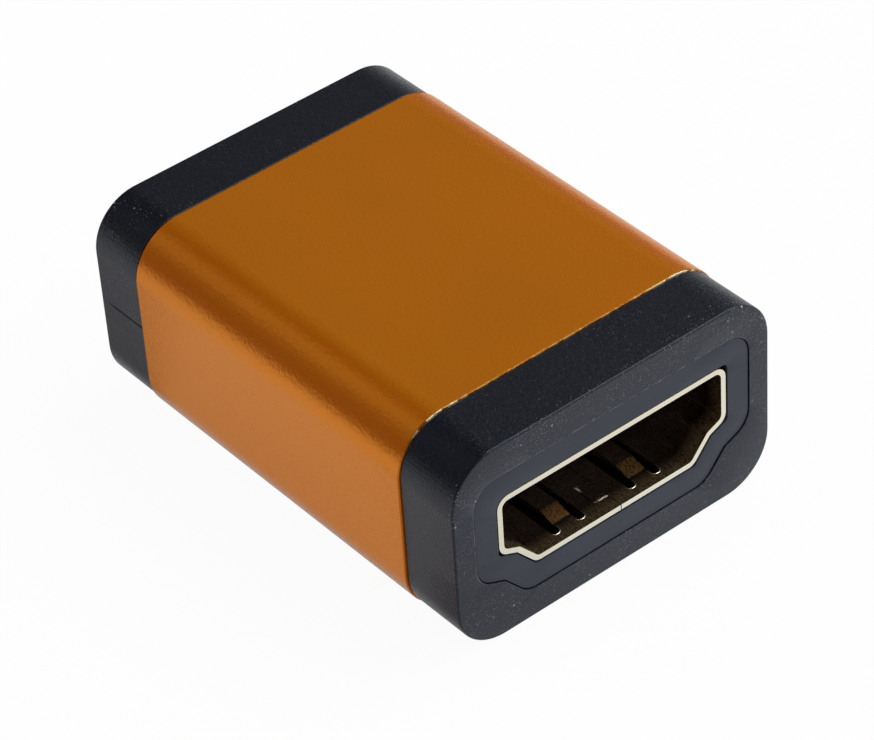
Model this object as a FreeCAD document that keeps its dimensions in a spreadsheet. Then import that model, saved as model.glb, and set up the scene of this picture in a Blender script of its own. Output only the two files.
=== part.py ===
"""Inline coupler for two digital video cables: a socket at each end of one short block.

Frame: +Z up, Y along the block, the front socket faces -Y, X across. The origin is under the
middle of the block, on the plane of the sleeve's underside. Every piece of a socket is drawn
once, in the socket's own frame: the mouth in the plane y = 0, the depth along +Y and heights
measured from the sleeve's underside. It is then placed at each end of the block.
"""
import FreeCAD, Part
import os

import Sketcher
from FreeCAD import Placement, Rotation, Vector

# Driving sizes in millimetres, with what each one is.
SIZES = {
    "socket_width": (14.0, "mouth of the socket, across"),
    "socket_height": (4.55, "mouth of the socket, floor to roof"),
    "shoulder_top": (1.65, "height above the floor where the side wall turns in"),
    "shoulder_drop": (0.4, "how far the shoulder falls to its inner end"),
    "shoulder_inset": (0.95, "how far the shoulder goes in from the side wall"),
    "slope_inset": (1.1, "how far the slope below it goes in to the floor's corner"),
    "socket_corner": (0.4, "inner radius of the socket's outward corners"),
    "shoulder_bend": (0.45, "inner radius of the bend under the shoulder"),
    "sheet_thickness": (0.3, "folded metal sheet of the socket shell"),
    "shell_depth": (11.3, "socket shell, mouth to back edge"),
    "slot_start": (0.6, "depth where the slots beside a spring finger begin"),
    "slot_width": (0.5, "slot beside a spring finger"),
    "slot_flat": (0.05, "flat left between the two rounded corners of a slot's end"),
    "finger_spread": (4.9, "spring fingers, centre to centre"),
    "finger_width": (1.1, "width of a spring finger"),
    "finger_root": (0.6, "flat length of a finger before it bends in"),
    "finger_ramp": (0.95, "length of a finger's rise"),
    "finger_crest": (1.75, "length of a finger's raised part"),
    "finger_return": (1.1, "length of a finger's fall to its free end"),
    "finger_rise": (0.26, "how far a finger stands into the socket"),
    "seam_offset": (0.35, "seam in the shell's floor, off the middle"),
    "seam_gap": (0.05, "open width of the seam"),
    "key_start": (1.05, "depth where the first dovetail key begins"),
    "key_length": (1.4, "dovetail key, along the seam"),
    "key_reach": (0.85, "how far a key reaches across the seam"),
    "key_flare": (0.22, "how much wider a key is at its head, each side"),
    "key_pitch": (5.6, "first key to second key"),
    "tab_length": (1.5, "solder tab of the shell beside the circuit board"),
    "tab_height": (1.5, "height of that tab"),
    "shell_gap": (0.08, "clearance between shell and inner moulding"),
    "shell_bore_corner": (0.3, "inner radius of the inner moulding's bore around the shell"),
    "mould_wall": (1.37, "wall of the inner moulding's nose around the shell"),
    "mouth_recess": (0.11, "shell's mouth set back from the cap's face"),
    "mould_recess": (0.06, "nose set back from the cap's face"),
    "mould_corner": (1.35, "outward corners of the nose"),
    "mould_bend": (0.5, "bend under the nose's shoulder"),
    "mould_seam": (0.1, "gap between the two inner mouldings"),
    "chamber_height": (3.2, "chamber around the circuit board"),
    "chamber_gap": (0.15, "chamber wall to the shell's tabs, each side"),
    "aperture_gap": (0.04, "clearance between nose and cap"),
    "rim_side": (1.28, "cap's face beside the aperture"),
    "rim_top": (1.85, "cap's face above the aperture"),
    "rim_bottom": (1.73, "cap's face below the aperture"),
    "front_cap_length": (3.835, "part of the front cap that shows"),
    "rear_cap_length": (3.635, "part of the rear cap that shows"),
    "cap_round": (0.15, "rounded edge of the cap's face"),
    "cap_bevel": (0.12, "broken edge of the cap at the joint"),
    "cap_plate": (2.0, "thickness of the cap's face"),
    "cavity_ease": (0.07, "cap's cavity wider than its aperture, each side"),
    "skirt_length": (3.0, "part of a cap inside the sleeve"),
    "skirt_gap": (0.05, "clearance inside the sleeve"),
    "seat_gap": (0.05, "clearance where one piece stops another"),
    "cap_side_step": (0.1, "sleeve proud of the caps at each side"),
    "cap_top_step": (0.05, "sleeve proud of the caps above and below"),
    "sleeve_corner": (2.9, "outer corner radius of the sleeve"),
    "sleeve_wall": (0.7, "wall of the sleeve"),
    "sleeve_bevel": (0.06, "cut edge of the sleeve, broken"),
    "board_length": (5.05, "circuit board, socket to socket"),
    "board_thickness": (0.8, "circuit board"),
    "board_gap": (0.2, "back of a socket to the board's edge"),
    "board_ease": (0.05, "board's edge to the shell's tab, each side"),
    "tongue_lift": (0.08, "tongue's middle above the socket's middle"),
    "tongue_tip": (3.0, "depth of the tongue's tip"),
    "tongue_margin": (0.95, "tongue beyond the outer contacts' middles"),
    "tongue_nose": (0.25, "bevel of the tongue's tip"),
    "base_depth": (1.9, "thickness of the insulator's base"),
    "base_gap": (0.03, "clearance between base and shell"),
    "contact_pitch": (1.0, "contact to contact in one row"),
    "contact_width": (0.45, "width of a contact strip"),
    "contact_thickness": (0.2, "thickness of a contact strip"),
    "contact_proud": (0.02, "contact above the tongue's face"),
    "contact_setback": (0.45, "contact's end behind the tongue's tip"),
    "contact_nose": (0.1, "bevel at a contact's end"),
    "groove_ease": (0.02, "clearance around a contact in its groove"),
    "tail_length": (1.8, "contact's tail on the circuit board"),
}

# Sizes that follow from the driving ones.
DERIVED = {
    "shoulder_low": "Sizes.shoulder_top - Sizes.shoulder_drop",
    "shoulder_angle": "atan(Sizes.shoulder_drop / Sizes.shoulder_inset)",
    "slope_angle": "atan(shoulder_low / Sizes.slope_inset)",
    "shoulder_inner": "Sizes.socket_width / 2 - Sizes.shoulder_inset",
    "floor_half": "shoulder_inner - Sizes.slope_inset",
    "nose_grow": "Sizes.sheet_thickness + Sizes.shell_gap + Sizes.mould_wall",
    "aperture_grow": "nose_grow + Sizes.aperture_gap",
    "mouth_span": "2 * (Sizes.shell_depth + Sizes.board_gap) + Sizes.board_length",
    "front_joint": "Sizes.front_cap_length - Sizes.mouth_recess",
    "rear_joint": "Sizes.rear_cap_length - Sizes.mouth_recess",
    "sleeve_length": "mouth_span - front_joint - rear_joint",
    "plate_depth": "Sizes.cap_plate - Sizes.mouth_recess",
    "nose_depth": "Sizes.mould_recess - Sizes.mouth_recess",
    "cap_width": "Sizes.socket_width + 2 * (aperture_grow + Sizes.rim_side)",
    "cap_height": "Sizes.socket_height + 2 * aperture_grow + Sizes.rim_top + Sizes.rim_bottom",
    "cap_corner": "Sizes.sleeve_corner - Sizes.cap_side_step",
    "sleeve_width": "cap_width + 2 * Sizes.cap_side_step",
    "sleeve_height": "cap_height + 2 * Sizes.cap_top_step",
    "middle_level": "sleeve_height / 2",
    "bore_width": "sleeve_width - 2 * Sizes.sleeve_wall",
    "bore_height": "sleeve_height - 2 * Sizes.sleeve_wall",
    "bore_corner": "Sizes.sleeve_corner - Sizes.sleeve_wall",
    "skirt_width": "bore_width - 2 * Sizes.skirt_gap",
    "skirt_height": "bore_height - 2 * Sizes.skirt_gap",
    "skirt_corner": "bore_corner - Sizes.skirt_gap",
    "cavity_width": "Sizes.socket_width + 2 * (aperture_grow + Sizes.cavity_ease)",
    "skirt_wall": "(skirt_width - cavity_width) / 2",
    "cavity_height": "skirt_height - 2 * skirt_wall",
    "cavity_corner": "skirt_corner - skirt_wall",
    "floor_level": "Sizes.cap_top_step + Sizes.rim_bottom + aperture_grow",
    "roof_level": "floor_level + Sizes.socket_height",
    "board_level": "(floor_level + roof_level) / 2 + Sizes.tongue_lift",
    "tab_top": "min(board_level + Sizes.tab_height / 2; roof_level - Sizes.socket_corner)",
    "tab_bottom": "max(board_level - Sizes.tab_height / 2; floor_level + Sizes.shoulder_top)",
    "board_half": "Sizes.board_thickness / 2",
    "strip_outer": "board_half + Sizes.contact_thickness",
    "tongue_half": "strip_outer - Sizes.contact_proud",
    "board_width": "Sizes.socket_width - 2 * Sizes.board_ease",
    "chamber_width": "Sizes.socket_width + 2 * (Sizes.sheet_thickness + Sizes.chamber_gap)",
    "bend_start": "Sizes.slot_start + Sizes.finger_root",
    "crest_start": "bend_start + Sizes.finger_ramp",
    "crest_end": "crest_start + Sizes.finger_crest",
    "finger_end": "crest_end + Sizes.finger_return",
    "base_start": "Sizes.shell_depth - Sizes.base_depth",
    "groove_start": "Sizes.tongue_tip + Sizes.contact_setback",
    "contact_start": "groove_start + Sizes.groove_ease",
    "contact_end": "Sizes.shell_depth + Sizes.board_gap + Sizes.tail_length",
}

# Contacts in the row above the tongue and in the row below it.
UPPER_CONTACTS = 10
LOWER_CONTACTS = 9
# Cutting sketches reach this far past the metal that they cut.
OVERCUT = 1.0
# Two features of one piece run into each other by this much, so that they fuse.
LAP = 0.1
DOVETAIL_KEYS = 2
TOLERANCE = 1e-6

doc = FreeCAD.newDocument("coupler")


def make_sheets():
    """The driving sizes as plain numbers, and a second sheet of formulas for what follows."""
    sizes = doc.addObject("Spreadsheet::Sheet", "Sizes")
    for row, (alias, (value, note)) in enumerate(SIZES.items(), start=1):
        sizes.set(f"A{row}", alias)
        sizes.set(f"B{row}", str(value))
        sizes.set(f"C{row}", note)
        sizes.setAlias(f"B{row}", alias)
    derived = doc.addObject("Spreadsheet::Sheet", "Derived")
    for row, (alias, formula) in enumerate(DERIVED.items(), start=1):
        derived.set(f"A{row}", alias)
        derived.setAlias(f"B{row}", alias)
        derived.set(f"B{row}", f"={formula}")
    doc.recompute()
    return sizes


SHEET = make_sheets()


def value(expression):
    """What an expression comes to, in millimetres."""
    result = SHEET.evalExpression(expression)
    return float(getattr(result, "Value", result))


def new_body(name):
    """An empty piece whose label names its file."""
    body = doc.addObject("PartDesign::Body", name)
    body.Label = name
    return body


def origin_plane(body, role):
    """One of the body's own origin planes."""
    return next(item for item in body.Origin.OriginFeatures if item.Role == role)


def draw_outline(sketch, corners, radii):
    """Draws a closed outline through the corners and rounds the ones that have a radius.

    Corners are pairs of expressions, and radii are expressions or None, one for each corner.
    Each corner point is held by its two coordinates, and each rounding by its radius.
    """
    points = [Vector(value(x), value(y), 0) for x, y in corners]
    count = len(points)
    first = sketch.GeometryCount
    for index, point in enumerate(points):
        sketch.addGeometry(Part.LineSegment(point, points[(index + 1) % count]), False)
    for index in range(count):
        following = first + (index + 1) % count
        sketch.addConstraint(Sketcher.Constraint("Coincident", first + index, 2, following, 1))
    for index, (x, y) in enumerate(corners):
        for kind, expression, place in (("DistanceX", x, points[index].x), ("DistanceY", y, points[index].y)):
            held = sketch.addConstraint(Sketcher.Constraint(kind, -1, 1, first + index, 1, place))
            sketch.setExpression(f"Constraints[{held}]", expression)
    for index, radius in enumerate(radii):
        if radius is not None:
            arc = sketch.GeometryCount
            sketch.fillet(first + (index - 1) % count, 2, value(radius), True, True)
            held = sketch.addConstraint(Sketcher.Constraint("Radius", arc, value(radius)))
            sketch.setExpression(f"Constraints[{held}]", radius)


def new_sketch(body, name, role, level, outlines):
    """A sketch on an origin plane, moved along the plane's normal to the level."""
    sketch = body.newObject("Sketcher::SketchObject", name)
    sketch.AttachmentSupport = [(origin_plane(body, role), "")]
    sketch.MapMode = "FlatFace"
    sketch.setExpression(".AttachmentOffset.Base.z", level)
    for corners, radii in outlines:
        draw_outline(sketch, corners, radii)
    return sketch


def extrude(body, kind, name, sketch, length, backwards=False, both_ways=False):
    """A pad or a pocket of the sketch, with a check that it changed the piece as it should."""
    before = body.Shape.Volume if body.Tip else 0.0
    feature = body.newObject(f"PartDesign::{kind}", name)
    feature.Profile = sketch
    feature.setExpression("Length", length)
    feature.Reversed = backwards
    feature.Midplane = both_ways
    doc.recompute()
    change = body.Shape.Volume - before
    if change * (1 if kind == "Pad" else -1) < TOLERANCE:
        raise RuntimeError(f"{body.Label}: {name} changed nothing")
    return feature


def along_depth(body, kind, name, outline, start, length):
    """A pad or pocket of an outline across the block, from the depth `start` inwards."""
    sketch = new_sketch(body, f"{name}_sketch", "XZ_Plane", f"-({start})", [outline])
    return extrude(body, kind, name, sketch, length, backwards=kind == "Pad")


def mirrored_corners(right_half):
    """The whole outline, from the corners of its right half, listed from the top down."""
    left_half = [(f"-({x})", y) for x, y in reversed(right_half)]
    return right_half + left_half


def rounded_block(width, height, corner, level="Derived.middle_level"):
    """A rectangle about the height `level`, its corners rounded where a radius is given."""
    right_half = [
        (f"({width}) / 2", f"({level}) + ({height}) / 2"),
        (f"({width}) / 2", f"({level}) - ({height}) / 2"),
    ]
    return mirrored_corners(right_half), [corner] * 4


def socket_outline(grow, corner, bend):
    """The socket's outline, every side of it moved out by `grow`.

    A corner moves along the bisector of its two sides, so the walls keep one thickness.
    """
    floor = "Derived.floor_level"
    mean_angle = "(Derived.shoulder_angle + Derived.slope_angle) / 2"
    half_turn = "(Derived.slope_angle - Derived.shoulder_angle) / 2"
    side = f"Sizes.socket_width / 2 + ({grow})"
    right_half = [
        (side, f"{floor} + Sizes.socket_height + ({grow})"),
        (side, f"{floor} + Sizes.shoulder_top - ({grow}) * tan(45 deg - Derived.shoulder_angle / 2)"),
        (
            f"Derived.shoulder_inner + ({grow}) * sin({mean_angle}) / cos({half_turn})",
            f"{floor} + Derived.shoulder_low - ({grow}) * cos({mean_angle}) / cos({half_turn})",
        ),
        (f"Derived.floor_half + ({grow}) * tan(Derived.slope_angle / 2)", f"{floor} - ({grow})"),
    ]
    radii = [corner, corner, bend, corner]
    return mirrored_corners(right_half), radii + radii[::-1]


def break_edges(body, kind, name, size, chosen):
    """A fillet or chamfer on the edges that `chosen` picks."""
    base = body.Tip
    names = [f"Edge{n}" for n, edge in enumerate(base.Shape.Edges, start=1) if chosen(edge)]
    if not names:
        raise RuntimeError(f"{body.Label}: {name} found no edge")
    feature = body.newObject(f"PartDesign::{kind}", name)
    feature.Base = (base, names)
    feature.setExpression("Radius" if kind == "Fillet" else "Size", size)
    body.Tip = feature
    doc.recompute()
    return feature


def in_plane(edge, depth):
    """Whether an edge lies in the plane at this depth."""
    box = edge.BoundBox
    return abs(box.YMin - depth) < TOLERANCE and abs(box.YMax - depth) < TOLERANCE


def outermost(body, depth):
    """Picks the edges of the body's outer outline at this depth."""
    shape = body.Tip.Shape
    face = max((f for f in shape.Faces if in_plane(f, depth)), key=lambda f: Part.Face(f.OuterWire).Area)
    rim = face.OuterWire.Edges
    return lambda edge: any(edge.isSame(other) for other in rim)


def place_at_end(body, end, across="0"):
    """Puts a piece drawn in the socket's frame at the front or the rear of the block."""
    front = end == "front"
    turn = Rotation(Vector(0, 0, 1), 0 if front else 180)
    body.Placement = Placement(Vector(0, 0, 0), turn)
    body.setExpression(".Placement.Base.y", f"{'-' if front else ''}Derived.mouth_span / 2")
    body.setExpression(".Placement.Base.x", across if front else f"-({across})")


def make_sleeve():
    """The coloured metal sleeve: an extrusion with its cut edges broken."""
    body = new_body("sleeve")
    outer = rounded_block("Derived.sleeve_width", "Derived.sleeve_height", "Sizes.sleeve_corner")
    bore = rounded_block("Derived.bore_width", "Derived.bore_height", "Derived.bore_corner")
    start = "Derived.front_joint - Derived.mouth_span / 2"
    along_depth(body, "Pad", "profile", outer, start, "Derived.sleeve_length")
    along_depth(body, "Pocket", "bore", bore, start, "Derived.sleeve_length")
    ends = (value(start), value(start) + value("Derived.sleeve_length"))
    rims = [outermost(body, depth) for depth in ends]
    break_edges(body, "Chamfer", "cut_edges", "Sizes.sleeve_bevel", lambda e: any(rim(e) for rim in rims))
    return body


def make_cap(end):
    """An end cap: a block around the socket, with a skirt that plugs into the sleeve."""
    body = new_body(f"{end}_cap")
    block = rounded_block("Derived.cap_width", "Derived.cap_height", "Derived.cap_corner")
    skirt = rounded_block("Derived.skirt_width", "Derived.skirt_height", "Derived.skirt_corner")
    cavity = rounded_block("Derived.cavity_width", "Derived.cavity_height", "Derived.cavity_corner")
    gap = "Sizes.aperture_gap"
    aperture = socket_outline("Derived.aperture_grow", f"Sizes.mould_corner + {gap}", f"Sizes.mould_bend - {gap}")
    face = "-Sizes.mouth_recess"
    joint = f"Derived.{end}_joint"
    back = f"({joint} + Sizes.skirt_length)"
    along_depth(body, "Pad", "block", block, face, f"Sizes.{end}_cap_length")
    face_rim = outermost(body, value(face))
    break_edges(body, "Fillet", "face_round", "Sizes.cap_round", face_rim)
    joint_rim = outermost(body, value(joint))
    break_edges(body, "Chamfer", "joint_bevel", "Sizes.cap_bevel", joint_rim)
    along_depth(body, "Pad", "skirt", skirt, f"{joint} - {LAP}", f"Sizes.skirt_length + {LAP}")
    along_depth(body, "Pocket", "cavity", cavity, "Derived.plate_depth", f"{back} - Derived.plate_depth")
    along_depth(body, "Pocket", "aperture", aperture, face, f"{back} - ({face})")
    place_at_end(body, end)
    return body


def make_inner_mould(end):
    """The inner moulding: a nose around the socket, and a block that fills the sleeve behind it."""
    body = new_body(f"{end}_inner_mould")
    nose = socket_outline("Derived.nose_grow", "Sizes.mould_corner", "Sizes.mould_bend")
    block = rounded_block("Derived.skirt_width", "Derived.skirt_height", "Derived.skirt_corner")
    grow = "Sizes.sheet_thickness + Sizes.shell_gap"
    bore = socket_outline(grow, "Sizes.shell_bore_corner", None)
    chamber = rounded_block("Derived.chamber_width", "Sizes.chamber_height", None, "Derived.board_level")
    face = "Derived.nose_depth"
    block_start = f"(Derived.{end}_joint + Sizes.skirt_length + Sizes.seat_gap)"
    block_end = "(Derived.mouth_span / 2 - Sizes.mould_seam / 2)"
    bore_end = "(Sizes.shell_depth + Sizes.seat_gap)"
    along_depth(body, "Pad", "nose", nose, face, f"{block_start} - {face} + {LAP}")
    along_depth(body, "Pad", "block", block, block_start, f"{block_end} - {block_start}")
    along_depth(body, "Pocket", "shell_bore", bore, face, f"{bore_end} - {face}")
    along_depth(body, "Pocket", "board_chamber", chamber, f"{bore_end} - {LAP}", f"{block_end} + {OVERCUT}")
    place_at_end(body, end)
    return body


def finger_window(side):
    """The cut around one spring finger, seen from above: two slots joined behind the finger."""
    middle = f"{side} * Sizes.finger_spread / 2"
    half = "Sizes.finger_width / 2"
    outer = f"({half} + Sizes.slot_width)"
    far_end = "Derived.finger_end + Sizes.slot_width"
    corners = [
        (f"{middle} - {outer}", "Sizes.slot_start"),
        (f"{middle} - {half}", "Sizes.slot_start"),
        (f"{middle} - {half}", "Derived.bend_start"),
        (f"{middle} + {half}", "Derived.bend_start"),
        (f"{middle} + {half}", "Sizes.slot_start"),
        (f"{middle} + {outer}", "Sizes.slot_start"),
        (f"{middle} + {outer}", far_end),
        (f"{middle} - {outer}", far_end),
    ]
    slot_end = "(Sizes.slot_width - Sizes.slot_flat) / 2"
    return corners, [slot_end, slot_end, None, None, slot_end, slot_end, slot_end, slot_end]


def finger_profile(level, inwards):
    """A bent spring finger from the side: flat, up a ramp, along its crest and back down."""
    outwards = f"{-inwards} * Sizes.sheet_thickness"
    crest = f"{level} + {inwards} * Sizes.finger_rise"
    inner_side = [
        (f"Derived.bend_start - {LAP}", level),
        ("Derived.bend_start", level),
        ("Derived.crest_start", crest),
        ("Derived.crest_end", crest),
        ("Derived.finger_end", level),
    ]
    outer_side = [(y, f"{z} + {outwards}") for y, z in reversed(inner_side)]
    bend = "Sizes.sheet_thickness"
    return inner_side + outer_side, [None, bend, bend, bend, None, None, bend, bend, bend, None]


def seam_outline():
    """The open seam in the shell's floor, with its dovetail keys, seen from above."""
    half_gap = "Sizes.seam_gap / 2"
    near_edge = f"Sizes.seam_offset + {half_gap}"
    far_edge = f"Sizes.seam_offset - {half_gap}"
    head = "Sizes.seam_offset - Sizes.key_reach"
    key_side = [(near_edge, f"-{OVERCUT}")]
    notch_side = [(far_edge, f"-{OVERCUT}")]
    for number in range(DOVETAIL_KEYS):
        start = f"(Sizes.key_start + {number} * Sizes.key_pitch)"
        end = f"({start} + Sizes.key_length)"
        key_side += [
            (near_edge, f"{start} + Sizes.key_flare"),
            (head, start),
            (head, end),
            (near_edge, f"{end} - Sizes.key_flare"),
        ]
        notch_side += [
            (far_edge, f"{start} + Sizes.key_flare - Sizes.seam_gap"),
            (f"{head} - Sizes.seam_gap", f"{start} - Sizes.seam_gap"),
            (f"{head} - Sizes.seam_gap", f"{end} + Sizes.seam_gap"),
            (far_edge, f"{end} - Sizes.key_flare + Sizes.seam_gap"),
        ]
    back = f"Sizes.shell_depth + {OVERCUT}"
    corners = key_side + [(near_edge, back), (far_edge, back)] + notch_side[::-1]
    return corners, [None] * len(corners)


def tab_outline(side):
    """The section of a solder tab, which carries on the flat part of the shell's side wall."""
    inner = f"{side} * Sizes.socket_width / 2"
    outer = f"{side} * (Sizes.socket_width / 2 + Sizes.sheet_thickness)"
    top, bottom = "Derived.tab_top", "Derived.tab_bottom"
    return [(outer, top), (outer, bottom), (inner, bottom), (inner, top)], [None] * 4


def make_shell(end):
    """The socket's metal shell, folded from one sheet and keyed together along its floor."""
    body = new_body(f"{end}_shell")
    thickness = "Sizes.sheet_thickness"
    corner = f"Sizes.socket_corner + {thickness}"
    bend = f"Sizes.shoulder_bend - {thickness}"
    outer = socket_outline(thickness, corner, bend)
    inner = socket_outline("0", "Sizes.socket_corner", "Sizes.shoulder_bend")
    along_depth(body, "Pad", "sheet", outer, "0", "Sizes.shell_depth")
    along_depth(body, "Pocket", "mouth", inner, "0", "Sizes.shell_depth")
    for side in (-1, 1):
        name = "right_tab" if side > 0 else "left_tab"
        length = f"Sizes.board_gap + Sizes.tab_length + {LAP}"
        along_depth(body, "Pad", name, tab_outline(side), f"Sizes.shell_depth - {LAP}", length)
    windows = [finger_window(-1), finger_window(1)]
    cut_depth = f"{thickness} + {2 * LAP}"
    for wall, level, inwards in (("floor", "Derived.floor_level", 1), ("roof", "Derived.roof_level", -1)):
        above = f"{level} + {LAP}" if inwards > 0 else f"{level} + {thickness} + {LAP}"
        cut = new_sketch(body, f"{wall}_windows_sketch", "XY_Plane", above, windows)
        extrude(body, "Pocket", f"{wall}_windows", cut, cut_depth)
        for side in (-1, 1):
            name = f"{wall}_finger_{'right' if side > 0 else 'left'}"
            across = f"{side} * Sizes.finger_spread / 2"
            bent = new_sketch(body, f"{name}_sketch", "YZ_Plane", across, [finger_profile(level, inwards)])
            extrude(body, "Pad", name, bent, "Sizes.finger_width", both_ways=True)
    seam = new_sketch(body, "seam_sketch", "XY_Plane", f"Derived.floor_level + {LAP}", [seam_outline()])
    extrude(body, "Pocket", "seam", seam, cut_depth)
    place_at_end(body, end)
    return body


def contact_rows():
    """For each row: its name, how many contacts, and which way from the board it lies."""
    return (("upper", UPPER_CONTACTS, 1), ("lower", LOWER_CONTACTS, -1))


def row_across(count, number):
    """How far across the socket contact `number` of a row of `count` lies."""
    return f"{number - (count - 1) / 2} * Sizes.contact_pitch"


def make_insulator(end):
    """The insulator: a base that closes the socket's back, and the grooved tongue."""
    body = new_body(f"{end}_insulator")
    gap = "Sizes.base_gap"
    base = socket_outline(f"-{gap}", f"Sizes.socket_corner - {gap}", f"Sizes.shoulder_bend + {gap}")
    tongue_width = f"{UPPER_CONTACTS - 1} * Sizes.contact_pitch + 2 * Sizes.tongue_margin"
    tongue = rounded_block(tongue_width, "2 * Derived.tongue_half", None, "Derived.board_level")
    reach = f"Derived.base_start - Sizes.tongue_tip + {LAP}"
    along_depth(body, "Pad", "base", base, "Derived.base_start", "Sizes.base_depth")
    along_depth(body, "Pad", "tongue", tongue, "Sizes.tongue_tip", reach)
    tip = value("Sizes.tongue_tip")
    break_edges(body, "Chamfer", "tongue_nose", "Sizes.tongue_nose", lambda edge: in_plane(edge, tip))
    ease = "Sizes.groove_ease"
    for row, count, upwards in contact_rows():
        inner = f"Derived.board_level + {upwards} * Derived.board_half"
        outer = f"Derived.board_level + {upwards} * (Derived.strip_outer + {ease})"
        first = row_across(count, 0)
        half = f"(Sizes.contact_width / 2 + {ease})"
        corners = [
            (f"{first} - {half}", inner),
            (f"{first} + {half}", inner),
            (f"{first} + {half}", outer),
            (f"{first} - {half}", outer),
        ]
        groove = (corners, [None] * 4)
        reach = "Sizes.shell_depth - Derived.groove_start"
        cut = along_depth(body, "Pocket", f"{row}_groove", groove, "Derived.groove_start", reach)
        grooves = body.newObject("PartDesign::LinearPattern", f"{row}_grooves")
        grooves.Originals = [cut]
        grooves.Direction = (cut.Profile[0], ["H_Axis"])
        grooves.setExpression("Length", f"{count - 1} * Sizes.contact_pitch")
        grooves.Occurrences = count
        body.Tip = grooves
        doc.recompute()
    place_at_end(body, end)
    return body


def make_contact(end, number, across, upwards):
    """One contact strip: it lies in its groove, passes the base and ends on the board."""
    body = new_body(f"{end}_contact_{number:02d}")
    inner = f"Derived.board_level + {upwards} * Derived.board_half"
    outer = f"Derived.board_level + {upwards} * Derived.strip_outer"
    bevelled = f"{outer} - {upwards} * Sizes.contact_nose"
    corners = [
        ("Derived.contact_start", inner),
        ("Derived.contact_start", bevelled),
        ("Derived.contact_start + 2 * Sizes.contact_nose", outer),
        ("Derived.contact_end - 2 * Sizes.contact_nose", outer),
        ("Derived.contact_end", bevelled),
        ("Derived.contact_end", inner),
    ]
    strip = new_sketch(body, f"strip_{end}_{number}", "YZ_Plane", "0", [(corners, [None] * len(corners))])
    extrude(body, "Pad", f"pad_{end}_{number}", strip, "Sizes.contact_width", both_ways=True)
    place_at_end(body, end, across)
    return body


def make_contacts(end):
    """The two staggered rows, numbered across the socket from its right: odd above, even below."""
    contacts = []
    for _, count, upwards in contact_rows():
        for place in range(count):
            number = 2 * place + (1 if upwards > 0 else 2)
            across = row_across(count, count - 1 - place)
            contacts.append(make_contact(end, number, across, upwards))
    return contacts


def make_board():
    """The circuit board that joins the two rows of tails."""
    body = new_body("circuit_board")
    half_width = "Derived.board_width / 2"
    half_length = "Sizes.board_length / 2"
    corners = mirrored_corners([(half_width, half_length), (half_width, f"-{half_length}")])
    plan = new_sketch(body, "board_sketch", "XY_Plane", "Derived.board_level", [(corners, [None] * 4)])
    extrude(body, "Pad", "board", plan, "Sizes.board_thickness", both_ways=True)
    return body


def make_pieces():
    """Every separate piece of the coupler."""
    pieces = [make_sleeve(), make_board()]
    for end in ("front", "rear"):
        pieces += [make_cap(end), make_inner_mould(end), make_shell(end), make_insulator(end)]
        pieces += make_contacts(end)
    return pieces


def check(pieces):
    """Stops at a failed object, or at a piece that isn't one valid solid."""
    for item in doc.Objects:
        if "Invalid" in item.State or "Error" in item.State:
            raise RuntimeError(f"{item.Label} failed: {item.State}")
    for piece in pieces:
        shape = piece.Shape
        if shape.isNull() or not shape.isValid() or len(shape.Solids) != 1:
            raise RuntimeError(f"{piece.Label} is not one valid solid")


def export(pieces):
    """Writes each piece to its own file, named after it."""
    os.makedirs("parts", exist_ok=True)
    for piece in pieces:
        piece.Shape.exportStep(f"parts/{piece.Label}.step")


PIECES = make_pieces()
doc.recompute()
check(PIECES)
export(PIECES)
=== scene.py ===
"""The looks of an inline coupler: orange sleeve, black end caps and a plated socket at each end.

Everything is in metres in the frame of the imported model: +Z up, Y along the block, the front
socket facing -Y, X across. Each cap and inner moulding is worked out with the cap's face in the
plane y = 0 and the depth along +Y, and is then set at its end of the block.
"""
import math

import bmesh
import bpy
import numpy as np
from bpy.props import FloatProperty, FloatVectorProperty, PointerProperty
from mathutils import Matrix, Vector


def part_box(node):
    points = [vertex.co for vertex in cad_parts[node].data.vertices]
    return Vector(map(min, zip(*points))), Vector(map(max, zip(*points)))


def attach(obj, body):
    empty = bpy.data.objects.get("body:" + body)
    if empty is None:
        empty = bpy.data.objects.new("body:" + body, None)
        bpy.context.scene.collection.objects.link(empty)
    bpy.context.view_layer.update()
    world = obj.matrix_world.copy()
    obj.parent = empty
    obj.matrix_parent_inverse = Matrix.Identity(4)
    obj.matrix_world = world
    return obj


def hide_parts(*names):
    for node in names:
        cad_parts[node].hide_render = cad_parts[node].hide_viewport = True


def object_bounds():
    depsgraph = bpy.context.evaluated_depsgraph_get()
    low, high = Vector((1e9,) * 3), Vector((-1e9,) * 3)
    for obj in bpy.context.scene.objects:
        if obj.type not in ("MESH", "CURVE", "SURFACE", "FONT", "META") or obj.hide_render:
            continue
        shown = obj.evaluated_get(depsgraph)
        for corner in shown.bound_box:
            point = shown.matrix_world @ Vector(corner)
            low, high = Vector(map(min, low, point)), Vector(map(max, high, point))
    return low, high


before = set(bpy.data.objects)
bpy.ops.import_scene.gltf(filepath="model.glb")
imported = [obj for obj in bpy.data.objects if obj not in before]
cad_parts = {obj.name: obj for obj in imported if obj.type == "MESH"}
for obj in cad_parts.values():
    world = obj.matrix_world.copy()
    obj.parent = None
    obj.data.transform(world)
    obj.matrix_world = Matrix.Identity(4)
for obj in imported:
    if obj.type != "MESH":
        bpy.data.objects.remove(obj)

bl_info = {
    "name": "Inline Coupler",
    "version": (1, 0, 0),
    "blender": (4, 5, 0),
    "location": "View3D > Sidebar > Coupler",
    "description": "Builds the visible pieces, finishes and studio of an inline cable coupler",
    "category": "Object",
}

MM = 0.001
# Radius of a corner that is left sharp.
SHARP = 1e-5 * MM
# Points of a copied mesh nearer than this are one, and faces that turn less are joined.
MERGE_DISTANCE = 0.0005 * MM
FLAT_TURN = math.radians(0.5)
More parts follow.
